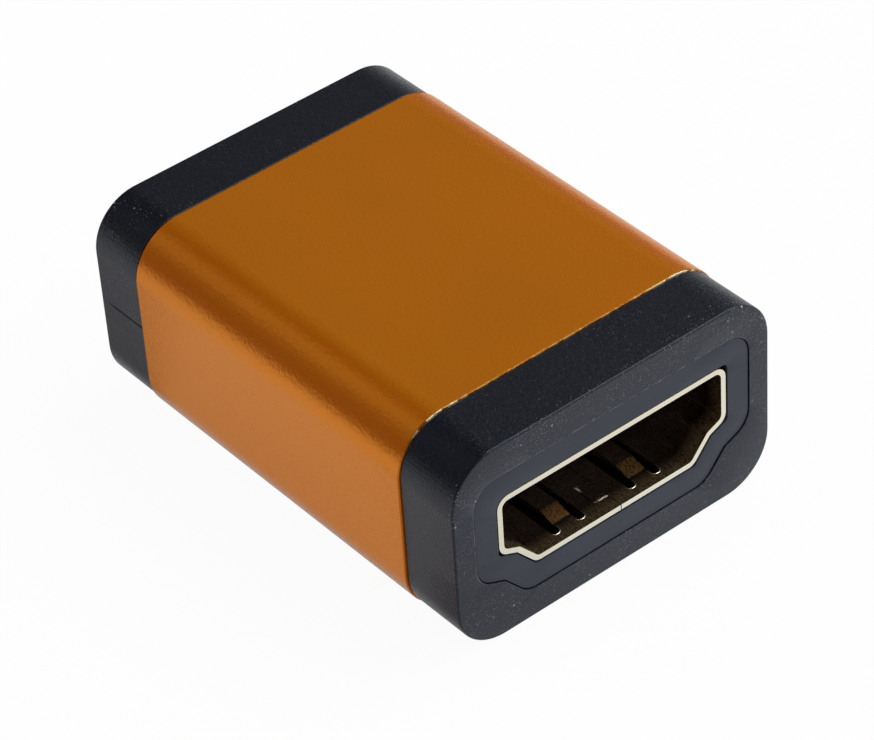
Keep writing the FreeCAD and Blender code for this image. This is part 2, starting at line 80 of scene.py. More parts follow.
# Faces that turn more than this meet in an edge, which is shaded sharp or bevelled.
EDGE_TURN = math.radians(35)
# Decimals to which the angles of joined outlines are told apart, in radians.
ANGLE_DECIMALS = 5
BODY = "root"
ENDS = ("front", "rear")
CAD_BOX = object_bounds()

# Tones of single marks and layers of the finishes, in scene-linear values.
WHITE = (1.0, 1.0, 1.0)
# Painted highlights: glints painted along the sleeve's cut edges, golden on the straight top and paler round
# the corners.
PAINTED_THREAD_GLINT = (1.0, 0.58, 0.12)
PAINTED_CORNER_GLINT = (1.0, 0.8, 0.42)
# Painted glints on the caps' spark finish.
PAINTED_SPECK_GLINT = (0.24, 0.26, 0.30)
PAINTED_GRAIN_GLINT = (0.6, 0.6, 0.62)
# Painted highlights on the caps' edges, brightest on the aperture's lip.
PAINTED_EDGE_HIGHLIGHT = (0.09, 0.095, 0.11)
PAINTED_LIP_HIGHLIGHT = (0.75, 0.77, 0.8)
PARTING_LINE = (0.001, 0.001, 0.001)
# Painted shade on the inner moulding inside the socket.
PAINTED_BORE_SHADE = (0.0008, 0.0007, 0.0007)
AGED_PLATING = (0.78, 0.72, 0.55)
# Plating inside the sockets: warm near the mouth, then painted shade deeper in, with painted light on the
# fingers' ramps.
WARM_PLATING = ((0.9, 0.6, 0.3), (1.0, 0.84, 0.52))
PAINTED_PLATING_SHADE = ((0.17, 0.12, 0.1), (0.24, 0.17, 0.13))
PAINTED_RAMP_LIGHT = ((0.62, 0.36, 0.15), (0.8, 0.48, 0.2))
# Painted highlights on the burrs in the sockets.
PAINTED_BURR_HIGHLIGHT = (0.97, 0.94, 0.88)
BARE_LAMINATE = (0.35, 0.33, 0.16)
# Painted shade and painted light on the floor, seen only in reflections: shade beside the caps, and light and
# shade far in front of the block and near it.
NEAR_SHADE = (0.48, 0.35, 0.36)
FAR_SHADE = (0.29, 0.24, 0.255)
PAINTED_FAR_FRONT_SHADE = (0.92, 0.92, 0.93)
PAINTED_NEAR_FRONT_LIGHT = (1.13, 1.15, 1.2)
PAINTED_LEFT_FRONT_SHADE = (0.0, 0.0, 0.0)


def length(name, description, default):
    """A length property whose default is given in millimetres."""
    return FloatProperty(name=name, description=description, default=default * MM, unit="LENGTH", precision=5)


def degrees(name, description, default):
    """An angle property whose default is given in degrees."""
    return FloatProperty(name=name, description=description, default=math.radians(default), subtype="ANGLE")


def colour(name, description, default):
    """A colour property in scene-linear values."""
    return FloatVectorProperty(
        name=name, description=description, default=default, subtype="COLOR", min=0, max=1,
    )


class CouplerSizes(bpy.types.PropertyGroup):
    """Sizes of the pieces that the frame's boxes don't give, their defaults in millimetres."""

    sleeve_corner: length("Sleeve corner", "Outer corner radius of the sleeve", 2.9)
    sleeve_wall: length("Sleeve wall", "Wall of the sleeve", 0.7)
    sleeve_bevel: length("Sleeve bevel", "Broken edge where the sleeve is cut", 0.06)
    skirt_gap: length("Skirt gap", "Clearance inside the sleeve", 0.05)
    skirt_length: length("Skirt length", "Part of a cap inside the sleeve", 3.0)
    cap_plate: length("Cap plate", "Thickness of a cap's face", 2.0)
    cap_round: length("Cap edge", "Rounded edge of a cap's face", 0.12)
    cap_bevel: length("Cap bevel", "Broken edge of a cap at the joint", 0.12)
    cavity_ease: length("Cavity ease", "Cavity wider than the aperture, each side", 0.07)
    lip_round: length("Lip", "Soft edge around an aperture", 0.03)
    socket_width: length("Socket width", "Mouth of the socket, across", 14.0)
    socket_height: length("Socket height", "Mouth of the socket, floor to roof", 4.55)
    shoulder_top: length("Shoulder top", "Height of the shoulder's outer end", 1.65)
    shoulder_drop: length("Shoulder drop", "Fall of the shoulder", 0.4)
    shoulder_inset: length("Shoulder inset", "How far the shoulder goes in", 0.95)
    slope_inset: length("Slope inset", "How far the slope below it goes in", 1.1)
    sheet: length("Sheet", "Thickness of the shell's metal sheet", 0.3)
    shell_gap: length("Shell gap", "Clearance between shell and inner moulding", 0.08)
    shell_bore_corner: length("Shell bore corner", "Inner radius of the bore around the shell", 0.3)
    shell_snug_corner: length("Snug bore corner", "The bore's corner that fits the shell closely", 0.7)
    mould_wall: length("Nose wall", "Wall of the inner moulding's nose", 1.37)
    mould_recess: length("Nose recess", "Nose set back from the cap's face", 0.06)
    mould_corner: length("Nose corner", "Outward corners of the nose", 1.35)
    mould_bend: length("Nose bend", "Bend under the nose's shoulder", 0.5)
    mould_edge: length("Nose edge", "Soft edge of the nose's face", 0.03)
    aperture_gap: length("Aperture gap", "Clearance between nose and cap", 0.04)
    seat_gap: length("Seat gap", "Clearance where one piece stops another", 0.05)
    chamber_height: length("Chamber height", "Chamber around the circuit board", 3.2)
    chamber_gap: length("Chamber gap", "Chamber to the shell's tabs, each side", 0.15)
    shell_edge: length("Shell edge", "Rounding of the sheet's cut edges", 0.07)
    insulator_edge: length("Insulator edge", "Rounding of the insulator's edges", 0.03)
    slot_start: length("Slot start", "Depth where the slots beside a spring finger begin", 0.6)
    slot_width: length("Slot width", "Slot beside a spring finger", 0.5)
    finger_spread: length("Finger spread", "Spring fingers, centre to centre", 4.9)
    finger_width: length("Finger width", "Width of a spring finger", 1.1)
    seam_offset: length("Seam offset", "Seam in the shell's floor, off the middle", 0.35)
    key_start: length("Key start", "Depth where the first dovetail key begins", 1.05)
    key_length: length("Key length", "Dovetail key, along the seam", 1.4)
    key_reach: length("Key reach", "How far a key reaches across the seam", 0.85)
    burr_width: length("Burr width", "Raised burr round the cuts in the shell", 0.05)
    parting_level: length("Parting level", "Height of the rear cap's parting line", 6.03)
    parting_width: length("Parting width", "Width of the rear cap's parting line", 0.09)


class CouplerFinish(bpy.types.PropertyGroup):
    """Colours of the finishes, in scene-linear values."""

    sleeve: colour("Sleeve", "Orange anodised aluminium", (0.62, 0.182, 0.003))
    cap: colour("Caps", "Blue-black moulded plastic", (0.003, 0.0028, 0.0065))
    mould: colour("Inner mouldings", "Smooth dark grey plastic", (0.0225, 0.0245, 0.040))
    shell: colour("Shells", "Pale champagne plating", (0.77, 0.735, 0.60))
    insulator: colour("Insulators", "Black moulded insulator", (0.008, 0.008, 0.009))
    contact: colour("Contacts", "Gold plating", (0.83, 0.56, 0.18))
    board: colour("Circuit board", "Green solder mask", (0.01, 0.07, 0.03))


class CouplerStudio(bpy.types.PropertyGroup):
    """Camera, lamps and backdrop."""

    azimuth: degrees("Azimuth", "Camera's turn about the object", -37.063)
    elevation: degrees("Elevation", "Camera's height angle", 39.212)
    roll: degrees("Roll", "Camera's tilt", -4.176)
    distance: length("Distance", "Camera to its aim", 192.52)
    aim: FloatVectorProperty(
        name="Aim", description="Point in the middle of the lens axis", unit="LENGTH", size=3, precision=6,
        default=(-0.518 * MM, -0.711 * MM, 4.827 * MM),
    )
    lens: FloatProperty(name="Lens", description="Focal length in millimetres", default=157.714)
    shift_x: FloatProperty(name="Shift X", description="Lens shift across", default=0.0073, precision=5)
    shift_y: FloatProperty(name="Shift Y", description="Lens shift up", default=-0.00405, precision=5)
    floor_size: length("Floor", "Side of the pale floor", 1200.0)


# Outlines and surfaces


def corner_polygon(right_half):
    """A closed polygon, counter-clockwise, from the corners of its right half listed from the bottom up."""
    right = np.array(right_half, float)
    left = right[::-1] * (-1, 1)
    return np.vstack([right, left])


def moved_out(polygon, grow):
    """The polygon with every side moved out by `grow`.

    A corner moves by grow (n1 + n2) / (1 + n1 . n2), where n1 and n2 are its sides' outward normals.
    """
    along = np.roll(polygon, -1, axis=0) - polygon
    along /= np.linalg.norm(along, axis=1)[:, None]
    after = np.stack([along[:, 1], -along[:, 0]], axis=1)
    before = np.roll(after, 1, axis=0)
    return polygon + grow * (before + after) / (1 + (before * after).sum(axis=1))[:, None]


def rounded(polygon, radii, steps=10):
    """The outline of a polygon with each corner replaced by an arc of its radius.

    An arc is tangent to both sides: its centre lies on the corner's bisector, r / cos(turn / 2)
    away, and its angle runs through the corner's turn in equal steps.
    """
    stretches = []
    befores, afters = np.roll(polygon, 1, axis=0), np.roll(polygon, -1, axis=0)
    for before, point, after, radius in zip(befores, polygon, afters, radii):
        into = (point - before) / np.linalg.norm(point - before)
        out = (after - point) / np.linalg.norm(after - point)
        turn = math.atan2(into[0] * out[1] - into[1] * out[0], into @ out)
        side = 1 if turn > 0 else -1
        inward = side * np.array([-into[1], into[0]])
        start = point - into * radius * math.tan(abs(turn) / 2)
        centre = start + inward * radius
        first = math.atan2(*(start - centre)[::-1])
        angles = first + np.linspace(0, turn, steps + 1)
        stretches.append(centre + radius * np.stack([np.cos(angles), np.sin(angles)], axis=1))
    return np.vstack(stretches)


def rounded_rectangle(width, height, corner, level):
    """A rounded rectangle about the height `level`."""
    polygon = corner_polygon([(width / 2, level - height / 2), (width / 2, level + height / 2)])
    return rounded(polygon, [corner] * 4, steps=20)


def at_same_angles(outlines, level):
    """The outlines, each read at every polar angle about (0, level) that any of them has a point at.

    A point between two points of an outline is read on the straight line that joins them.
    """
    polar = []
    for outline in outlines:
        angle = np.arctan2(outline[:, 1] - level, outline[:, 0]) % (2 * math.pi)
        order = np.argsort(angle)
        polar.append((angle[order], outline[order]))
    every_angle = np.unique(np.concatenate([angle for angle, _ in polar]).round(ANGLE_DECIMALS))
    resampled = []
    for angle, points in polar:
        wrapped = np.concatenate([angle[-1:] - 2 * math.pi, angle, angle[:1] + 2 * math.pi])
        ring = np.vstack([points[-1:], points, points[:1]])
        direction = np.stack([np.cos(every_angle), np.sin(every_angle)], axis=1)
        after = np.searchsorted(wrapped, every_angle, side="right").clip(1, len(wrapped) - 1)
        first, second = ring[after - 1] - (0, level), ring[after] - (0, level)
        side = second - first
        cross = direction[:, 0] * side[:, 1] - direction[:, 1] * side[:, 0]
        reach = (first[:, 0] * side[:, 1] - first[:, 1] * side[:, 0]) / np.where(abs(cross) < 1e-15, 1, cross)
        resampled.append(direction * reach[:, None] + (0, level))
    return resampled


def soft_edge(outline_at, radius, steps, face=0.0):
    """Pairs of outline and depth from a face back along a quarter circle; outline_at takes the inset.

    At the angle a, the inset is r (1 - sin a) and the depth behind the face r (1 - cos a).
    """
    angle = np.linspace(0, math.pi / 2, steps + 1)
    insets, depths = radius * (1 - np.sin(angle)), face + radius * (1 - np.cos(angle))
    return [(outline_at(inset), depth) for inset, depth in zip(insets, depths)]


def ring_mesh(name, rings):
    """A closed surface through rings of points: a grid that closes both ways."""
    grid = np.array(rings)
    around, across = grid.shape[:2]
    number = np.arange(around * across).reshape(around, across)
    below = np.roll(number, -1, axis=0)
    quads = np.stack([number, np.roll(number, -1, axis=1), np.roll(below, -1, axis=1), below], axis=2)
    points = grid.reshape(-1, 3)
    faces = quads.reshape(-1, 4)
    a, b, c, d = (points[faces[:, n]] for n in range(4))
    volume = (np.cross(b - a, c - a) * a).sum() + (np.cross(c - a, d - a) * a).sum()
    if volume < 0:
        faces = faces[:, ::-1]
    mesh = bpy.data.meshes.new(name)
    mesh.from_pydata(points, [], faces.tolist())
    mesh.update()
    return mesh


def ring(outline, depth):
    """An outline set upright at a depth."""
    return np.column_stack([outline[:, 0], np.full(len(outline), depth), outline[:, 1]])


def new_piece(name, mesh, slot, nodes):
    """A finished piece: an object on the block's body that stands for some of the frame's nodes."""
    piece = bpy.data.objects.new(name, mesh)
    bpy.context.scene.collection.objects.link(piece)
    mesh.materials.clear()
    mesh.materials.append(finish_for(slot))
    mesh.polygons.foreach_set("use_smooth", np.ones(len(mesh.polygons), bool))
    mesh.set_sharp_from_angle(angle=EDGE_TURN)
    weighted = piece.modifiers.new("even_shading", "WEIGHTED_NORMAL")
    weighted.keep_sharp = True
    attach(piece, BODY)
    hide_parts(*nodes)
    return piece


def softened_copy(node, name, slot, width, segments):
    """Makes a piece from a merged copy of a node's mesh: flat parts joined and edges rounded."""
    shape = bmesh.new()
    shape.from_mesh(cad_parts[node].data)
    bmesh.ops.remove_doubles(shape, verts=shape.verts, dist=MERGE_DISTANCE)
    bmesh.ops.dissolve_limit(shape, angle_limit=FLAT_TURN, verts=shape.verts, edges=shape.edges)
    mesh = bpy.data.meshes.new(f"{name}_surface")
    shape.to_mesh(mesh)
    shape.free()
    piece = new_piece(name, mesh, slot, [node])
    bevel = piece.modifiers.new("cut_edges", "BEVEL")
    bevel.width = width
    bevel.segments = segments
    bevel.limit_method = "ANGLE"
    bevel.angle_limit = EDGE_TURN
    piece.modifiers.move(len(piece.modifiers) - 1, 0)


def dress(node, slot):
    """Gives a node of the frame a slot's finish."""
    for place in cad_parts[node].material_slots:
        place.material = finish_for(slot)


# Finishes


class Tree:
    """A shader node tree, with short calls that add nodes to it."""

    def __init__(self, node_tree):
        self.node_tree = node_tree

    def add(self, kind, settings=None, **inputs):
        """A shader node of this kind, its attributes from `settings`, its sockets set or linked by name."""
        node = self.node_tree.nodes.new("ShaderNode" + kind)
        for name, value in (settings or {}).items():
            setattr(node, name, value)
        return self.set(node, **inputs)

    def set(self, node, **inputs):
        """The node, with its sockets set or linked by name."""
        for name, value in inputs.items():
            self.put(node.inputs[name.replace("_", " ")], value)
        return node

    def put(self, socket, value):
        """Links an output to the socket, or sets its value."""
        if isinstance(value, bpy.types.NodeSocket):
            self.node_tree.links.new(value, socket)
        else:
            socket.default_value = (*value, 1.0) if socket.type == "RGBA" else value

    def fill(self, node, *values):
        """A node's first output, after its sockets are set or linked in order."""
        for socket, value in zip(node.inputs, values):
            self.put(socket, value)
        return node.outputs[0]

    def maths(self, operation, first, second=0.0, third=0.0):
        """The output of a Math node."""
        return self.fill(self.add("Math", {"operation": operation}), first, second, third)

    def plus(self, first, *others):
        """The sum of the values."""
        for value in others:
            first = self.maths("ADD", first, value)
        return first

    def times(self, first, *others):
        """The product of the values."""
        for value in others:
            first = self.maths("MULTIPLY", first, value)
        return first

    def minus(self, first, second):
        """The first value less the second."""
        return self.maths("SUBTRACT", first, second)

    def absolute(self, value):
        """The value without its sign."""
        return self.maths("ABSOLUTE", value)

    def blend(self, share, first, second):
        """The output of a colour Mix node."""
        node = self.add("Mix", {"data_type": "RGBA"}, Factor=share, A=first, B=second)
        return node.outputs["Result"]

    def spread(self, value, low, high, to_low=0.0, to_high=1.0):
        """A value mapped from one range to another and held inside it."""
        return self.fill(self.add("MapRange"), value, low, high, to_low, to_high)

    def mixed(self, share, first, second):
        """The output of a Mix Shader node."""
        return self.fill(self.add("MixShader"), share, first, second)

    def split(self, vector):
        """The X, Y and Z outputs of a vector."""
        return self.add("SeparateXYZ", Vector=vector).outputs

    def position(self):
        """The point's Object coordinates."""
        return self.add("TexCoord").outputs["Object"]

    def facing(self):
        """The X, Y and Z outputs of the surface's own normal."""
        return self.split(self.add("NewGeometry").outputs["Normal"])


def cleared(owner):
    """A material's or a world's own tree, emptied."""
    owner.use_nodes = True
    owner.node_tree.nodes.clear()
    return Tree(owner.node_tree)


def new_group(name, outputs, **values):
    """An empty node group that takes a position and these values, with its tree and its two ends."""
    group = bpy.data.node_groups.new(name, "ShaderNodeTree")
    group.interface.new_socket(name="Position", in_out="INPUT", socket_type="NodeSocketVector")
    for label, value in values.items():
        socket = group.interface.new_socket(name=label, in_out="INPUT", socket_type="NodeSocketFloat")
        socket.default_value = value
    for label in outputs:
        group.interface.new_socket(name=label, in_out="OUTPUT", socket_type="NodeSocketFloat")
    return group, Tree(group), group.nodes.new("NodeGroupInput").outputs, group.nodes.new("NodeGroupOutput")


def fine_grain_group():
    """A fine random surface: blasted metal or a spark-finished mould, as a height and a soft mask."""
    group, tree, given, out = new_group("fine_grain", ("Height", "Mask"), Grain=0.1 * MM, Roughness=0.6)
    scale = tree.maths("DIVIDE", 1.0, given["Grain"])
    noise = tree.add("TexNoise", Vector=given["Position"], Scale=scale, Detail=3.0,
                     Roughness=given["Roughness"]).outputs["Fac"]
    tree.set(out, Height=noise, Mask=tree.spread(noise, 0.35, 0.65))
    return group


def specks_group():
    """Sparse specks, painted pale as glints where they are used: cells of a random pattern whose own number
    is low, cut to small dots.
    """
    group, tree, given, out = new_group("specks", ("Mask",), Spacing=0.3 * MM, Share=0.2, Size=0.3)
    scale = tree.maths("DIVIDE", 1.0, given["Spacing"])
    cells = tree.add("TexVoronoi", Vector=given["Position"], Scale=scale).outputs
    number = tree.add("SeparateColor", Color=cells["Color"]).outputs
    chosen = tree.maths("LESS_THAN", number["Red"], given["Share"])
    size = tree.times(number["Green"], given["Size"])
    near = tree.minus(1.0, tree.maths("DIVIDE", cells["Distance"], size))
    tree.set(out, Mask=tree.times(chosen, tree.maths("MAXIMUM", near, 0.0)))
    return group


def edge_highlight_group():
    """Painted edge highlights: where the normal of a small bevel leaves the surface's own normal."""
    group, tree, given, out = new_group("painted_edge_highlight", ("Mask",), Width=0.1 * MM, Patchiness=0.5)
    bevel = tree.add("Bevel", {"samples": 6}, Radius=given["Width"])
    flat = tree.add("NewGeometry")
    dot = tree.add("VectorMath", {"operation": "DOT_PRODUCT"})
    tree.fill(dot, bevel.outputs["Normal"], flat.outputs["Normal"])
    edge = tree.spread(dot.outputs["Value"], 0.98, 0.75)
    noise = tree.add("TexNoise", Vector=given["Position"], Scale=2500.0, Detail=2.0)
    patches = tree.spread(noise.outputs["Fac"], given["Patchiness"], 0.75)
    tree.set(out, Mask=tree.times(edge, patches))
    return group


GROUP_MAKERS = {"fine_grain": fine_grain_group, "specks": specks_group, "painted_edge_highlight": edge_highlight_group}


def effect(tree, name, **inputs):
    """The outputs of a shared effect placed in a material with its own values."""
    group = bpy.data.node_groups.get(name) or GROUP_MAKERS[name]()
    return tree.add("Group", {"node_tree": group}, Position=tree.position(), **inputs).outputs


def grain_height(tree, grain, roughness):
    """The height of a fine grain of this size."""
    return effect(tree, "fine_grain", Grain=grain, Roughness=roughness)["Height"]


def lighter(values, factor):
    """A colour made lighter or darker."""
    return [min(1.0, value * factor) for value in values]


def bumped(tree, height, strength, distance):
    """The normal of a surface with this height on it."""
    bump = tree.add("Bump", Strength=strength, Distance=distance, Height=height)
    return bump.outputs["Normal"]


def stretched_noise(tree, scale, detail=2.0):
    """Random streaks: noise on Object coordinates, scaled apart along each axis."""
    mapping = tree.add("Mapping", Vector=tree.position(), Scale=scale)
    noise = tree.add("TexNoise", Vector=mapping.outputs["Vector"], Scale=1.0, Detail=detail)
    return noise.outputs["Fac"]


def drifting(tree, value, tone, darkest, lightest):
    """A tone that drifts between a darker and a lighter one with a random value."""
    return tree.blend(tree.spread(value, 0.3, 0.7), lighter(tone, darkest), lighter(tone, lightest))


def turned_x(tree, at):
    """X as seen from in front of the point's own end of the block."""
    return tree.times(at["X"], tree.maths("SIGN", at["Y"]), -1.0)


def sleeve_finish(tree, shader, finish):
    """Satin anodised aluminium: a blasted grain under a clear oxide layer, with painted glints and painted
    shade along its cut edges, and painted light and shade on its corners and sides.
    """
    low, high = box_of("sleeve")
    bevel = bpy.context.scene.coupler_sizes.sleeve_bevel
    grain = grain_height(tree, 0.09 * MM, 0.65)
    coarse = grain_height(tree, 0.19 * MM, 0.5)
    streaks = stretched_noise(tree, (4000, 60, 4000), detail=3.0)
    clouds = stretched_noise(tree, (90, 60, 90))
    at = tree.split(tree.position())

    half_length = (high[1] - low[1]) / 2
    from_middle = tree.absolute(tree.minus(at["Y"], (low[1] + high[1]) / 2))
    cut = tree.maths("GREATER_THAN", from_middle, half_length - bevel * 0.98)
    # Painted glints: a thin thread on the cut edge's rim, broken into dashes and kept near the top, where it
    # is painted bright and made less metallic.
    thread = tree.maths("GREATER_THAN", from_middle, half_length - bevel * 0.6)
    near_corner = tree.spread(tree.absolute(at["X"]), 5.0 * MM, 7.3 * MM)
    glint_noise = tree.maths("MULTIPLY_ADD", near_corner, 0.05, stretched_noise(tree, (2400, 900, 2400), detail=3.0))
    glint_dashes = tree.times(tree.spread(glint_noise, 0.46, 0.58), tree.spread(near_corner, 0.0, 1.0, 0.35, 1.0))
    upper = tree.spread(at["Z"], high[2] - 0.8 * MM, high[2] - 0.45 * MM)
    painted_glint = tree.times(thread, tree.times(glint_dashes, upper))

    tone = drifting(tree, clouds, finish.sleeve, 0.95, 1.05)
    tone = tree.blend(tree.spread(grain, 0.3, 0.7, 0.0, 0.1), tone, lighter(finish.sleeve, 1.3))
    aside = tree.absolute(tree.facing()["X"])
    # Painted shade: where the surface turns from the top to a side, bands of it are painted redder and
    # darker, as dark reflected streaks.
    bend = tree.times(tree.spread(aside, 0.1, 0.35), tree.spread(aside, 0.86, 0.95, 1.0, 0.0))
    off_band = tree.absolute(tree.minus(aside, 0.53))
    painted_streak_shade = tree.times(bend, tree.spread(off_band, 0.06, 0.22, 0.2, 0.65))
    painted_streak_tone = [value * share for value, share in zip(finish.sleeve, (0.97, 0.66, 0.5))]
    tone = tree.blend(painted_streak_shade, tone, painted_streak_tone)
    # Painted light: faces turned fully to the sides are painted lighter.
    tone = tree.blend(tree.spread(aside, 0.88, 1.0), tone, lighter(finish.sleeve, 1.15))
    # Painted shade: the cut edges are painted darker, most along the top and hardly on the sides.
    shaded = tree.spread(at["Z"], high[2] - 2.2 * MM, high[2] - 0.8 * MM, 0.05, 0.6)
    tone = tree.blend(tree.times(cut, shaded), tone, lighter(finish.sleeve, 0.3))
    tone = tree.blend(painted_glint, tone, tree.blend(near_corner, PAINTED_THREAD_GLINT, PAINTED_CORNER_GLINT))

    height = tree.plus(grain, tree.times(coarse, 4.5), tree.times(streaks, 0.35))
    tree.set(
        shader, Base_Color=tone, Metallic=tree.maths("MULTIPLY_ADD", painted_glint, -0.3, 0.48),
        Roughness=tree.spread(tree.times(grain, streaks), 0.15, 0.4, 0.18, 0.24),
        Normal=bumped(tree, height, 0.5, 0.012 * MM),
    )
    shader.inputs["Specular Tint"].default_value = (0.7, 0.66, 0.55, 1.0)


def parting_mask(tree, at):
    """1 on the fine line along the left side of the rear cap where the mould's halves met."""
    sizes = bpy.context.scene.coupler_sizes
    low, high = box_of("rear_cap")
    off = tree.absolute(tree.minus(at["Z"], sizes.parting_level))
    line = tree.spread(off, sizes.parting_width / 2, sizes.parting_width, 1.0, 0.0)
    left = tree.maths("LESS_THAN", at["X"], low[0] + 0.5 * MM)
    end = tree.spread(at["Y"], high[1] - 1.2 * MM, high[1] - 0.5 * MM, 1.0, 0.0)
    rear = tree.times(tree.maths("GREATER_THAN", at["Y"], 0.0), end)
    return tree.times(line, left, rear)


def lip_highlight_side(tree, at):
    """1 on the upper and left sides of the face's aperture, where a painted highlight runs along the lip."""
    left = tree.spread(turned_x(tree, at), -8.6 * MM, -8.2 * MM, 1.0, 0.0)
    top = tree.spread(at["Z"], 9.2 * MM, 9.6 * MM)
    outer_side = tree.spread(tree.absolute(at["X"]), 9.2 * MM, 9.5 * MM, 1.0, 0.0)
    outer_top = tree.spread(at["Z"], 10.4 * MM, 10.9 * MM, 1.0, 0.0)
    return tree.times(tree.maths("MAXIMUM", left, top), tree.times(outer_side, outer_top))


def cap_finish(tree, shader, finish):
    """Blue-black plastic from a spark-finished mould: a coarse grain with sparse specks painted pale as
    glints, and painted highlights on its edges.
    """
    grain = effect(tree, "fine_grain", Grain=0.16 * MM, Roughness=0.6)
    fine = grain_height(tree, 0.06 * MM, 0.6)
    patches = grain_height(tree, 1.2 * MM, 0.5)
    areas = grain_height(tree, 3.5 * MM, 0.4)
    specks = effect(tree, "specks", Spacing=0.1 * MM, Share=0.45, Size=0.55)["Mask"]
    glint_grains = effect(tree, "specks", Spacing=0.32 * MM, Share=0.12, Size=0.28)["Mask"]
    edge_highlights = effect(tree, "painted_edge_highlight", Width=0.14 * MM, Patchiness=0.35)["Mask"]
    at = tree.split(tree.position())
    behind = tree.minus(CAD_BOX[1][1], tree.absolute(at["Y"]))
    on_band = tree.spread(turned_x(tree, at), -3 * MM, 8 * MM, 0.12, 0.55)
    face = tree.spread(behind, 0.05 * MM, 0.5 * MM, 1.0, on_band)
    rim = tree.times(lip_highlight_side(tree, at), tree.maths("LESS_THAN", behind, 0.05 * MM))
    line = parting_mask(tree, at)
    gathered = tree.times(tree.spread(patches, 0.42, 0.6, 0.2, 1.0),
                          tree.spread(areas, 0.4, 0.56, 0.15, 1.0))

    tone = tree.blend(grain["Mask"], lighter(finish.cap, 0.7), lighter(finish.cap, 1.5))
    # Painted glints: pale specks, mostly near the face, stand for grains of the spark finish catching the
    # light.
    for dots, pale in ((specks, PAINTED_SPECK_GLINT), (glint_grains, PAINTED_GRAIN_GLINT)):
        tone = tree.blend(tree.times(dots, face, gathered), tone, pale)
    # Painted highlights: the caps' edges are painted lighter, and the upper and left sides of the aperture's
    # lip lighter still.
    tone = tree.blend(tree.times(edge_highlights, 0.85), tone, tree.blend(rim, PAINTED_EDGE_HIGHLIGHT, PAINTED_LIP_HIGHLIGHT))
    tone = tree.blend(tree.times(line, 0.7), tone, PARTING_LINE)
    rough = tree.spread(grain["Height"], 0.3, 0.7, 0.3, 0.42)
    height = tree.plus(grain["Height"], tree.times(fine, 0.5), tree.times(specks, 0.7))
    height = tree.minus(height, tree.times(line, 1.2))
    tree.set(
        shader, Base_Color=tone, Roughness=tree.maths("MULTIPLY_ADD", line, 0.5, rough),
        Normal=bumped(tree, height, 0.8, 0.025 * MM),
    )
    shader.inputs["Specular IOR Level"].default_value = 0.5
    shader.inputs["Specular Tint"].default_value = (0.74, 0.85, 1.0, 1.0)


def mould_finish(tree, shader, finish):
    """Smooth dark grey plastic with a faint bloom on the nose, painted nearly black as painted shade behind
    the mouth of the socket.
    """
    grain = grain_height(tree, 0.1 * MM, 0.5)
    clouds = stretched_noise(tree, (300, 300, 300))
    tone = drifting(tree, clouds, finish.mould, 0.9, 1.12)
    # Painted shade: a little way behind the socket's mouth the moulding is painted nearly black.
    painted_deep_shade = tree.spread(depth_in_socket(tree, tree.split(tree.position())), 0.1 * MM, 0.4 * MM)
    tree.set(
        shader, Base_Color=tree.blend(painted_deep_shade, tone, PAINTED_BORE_SHADE),
        Roughness=tree.spread(grain, 0.3, 0.7, 0.5, 0.58), Normal=bumped(tree, grain, 0.4, 0.006 * MM),
    )
    shader.inputs["Specular Tint"].default_value = (0.86, 0.92, 1.0, 1.0)


def depth_in_socket(tree, at):
    """How far a point lies behind the mouth of its own socket."""
    mouth = box_of("rear_shell")[1][1]
    return tree.minus(mouth, tree.absolute(at["Y"]))


def ridge(tree, value, centre, width):
    """1 where the value equals the centre, falling evenly to 0 at the width to each side."""
    return tree.spread(tree.absolute(tree.minus(value, centre)), 0.0, width, 1.0, 0.0)


def burrs(tree, at, depth):
    """Burrs round the near ends of the slots and round the dovetail key, left by the stamping tool, which
    also carry painted highlights.

    A slot's burr follows the distance from the middle of its round end, and the key's burrs follow
    its near edge and the far corner of its head.
    """
    sizes = bpy.context.scene.coupler_sizes
    half_slot, burr = sizes.slot_width / 2, sizes.burr_width
    round_end = sizes.slot_start + half_slot
    off_finger = tree.absolute(tree.minus(tree.absolute(at["X"]), sizes.finger_spread / 2))
    off_slot = tree.minus(off_finger, (sizes.finger_width + sizes.slot_width) / 2)
    beyond = tree.maths("MAXIMUM", tree.minus(round_end, depth), 0.0)
    squares = tree.plus(tree.times(off_slot, off_slot), tree.times(beyond, beyond))
    slots = ridge(tree, tree.maths("SQRT", squares), half_slot + burr, burr)
    slots = tree.times(slots, tree.spread(depth, round_end, sizes.slot_start + sizes.slot_width, 1.0, 0.0))

    turned = turned_x(tree, at)
    head = sizes.seam_offset - sizes.key_reach
    middle = head + sizes.key_reach / 2
    broken = tree.spread(stretched_noise(tree, (5000, 5000, 5000)), 0.4, 0.55, 0.25, 1.0)
    wide = ridge(tree, turned, middle, sizes.key_reach / 2)
    front = ridge(tree, depth, sizes.key_start - burr, burr * 1.8)
    fading = tree.spread(turned, head, middle, 0.25, 1.0)
    front = tree.times(front, tree.maths("GREATER_THAN", wide, 0.0), fading)
    side = ridge(tree, turned, head + burr, burr * 2)
    corner = ridge(tree, depth, sizes.key_start + sizes.key_length - 0.15 * MM, 0.3 * MM)
    key = tree.times(tree.maths("MAXIMUM", front, tree.times(side, corner)), broken)
    return slots, key


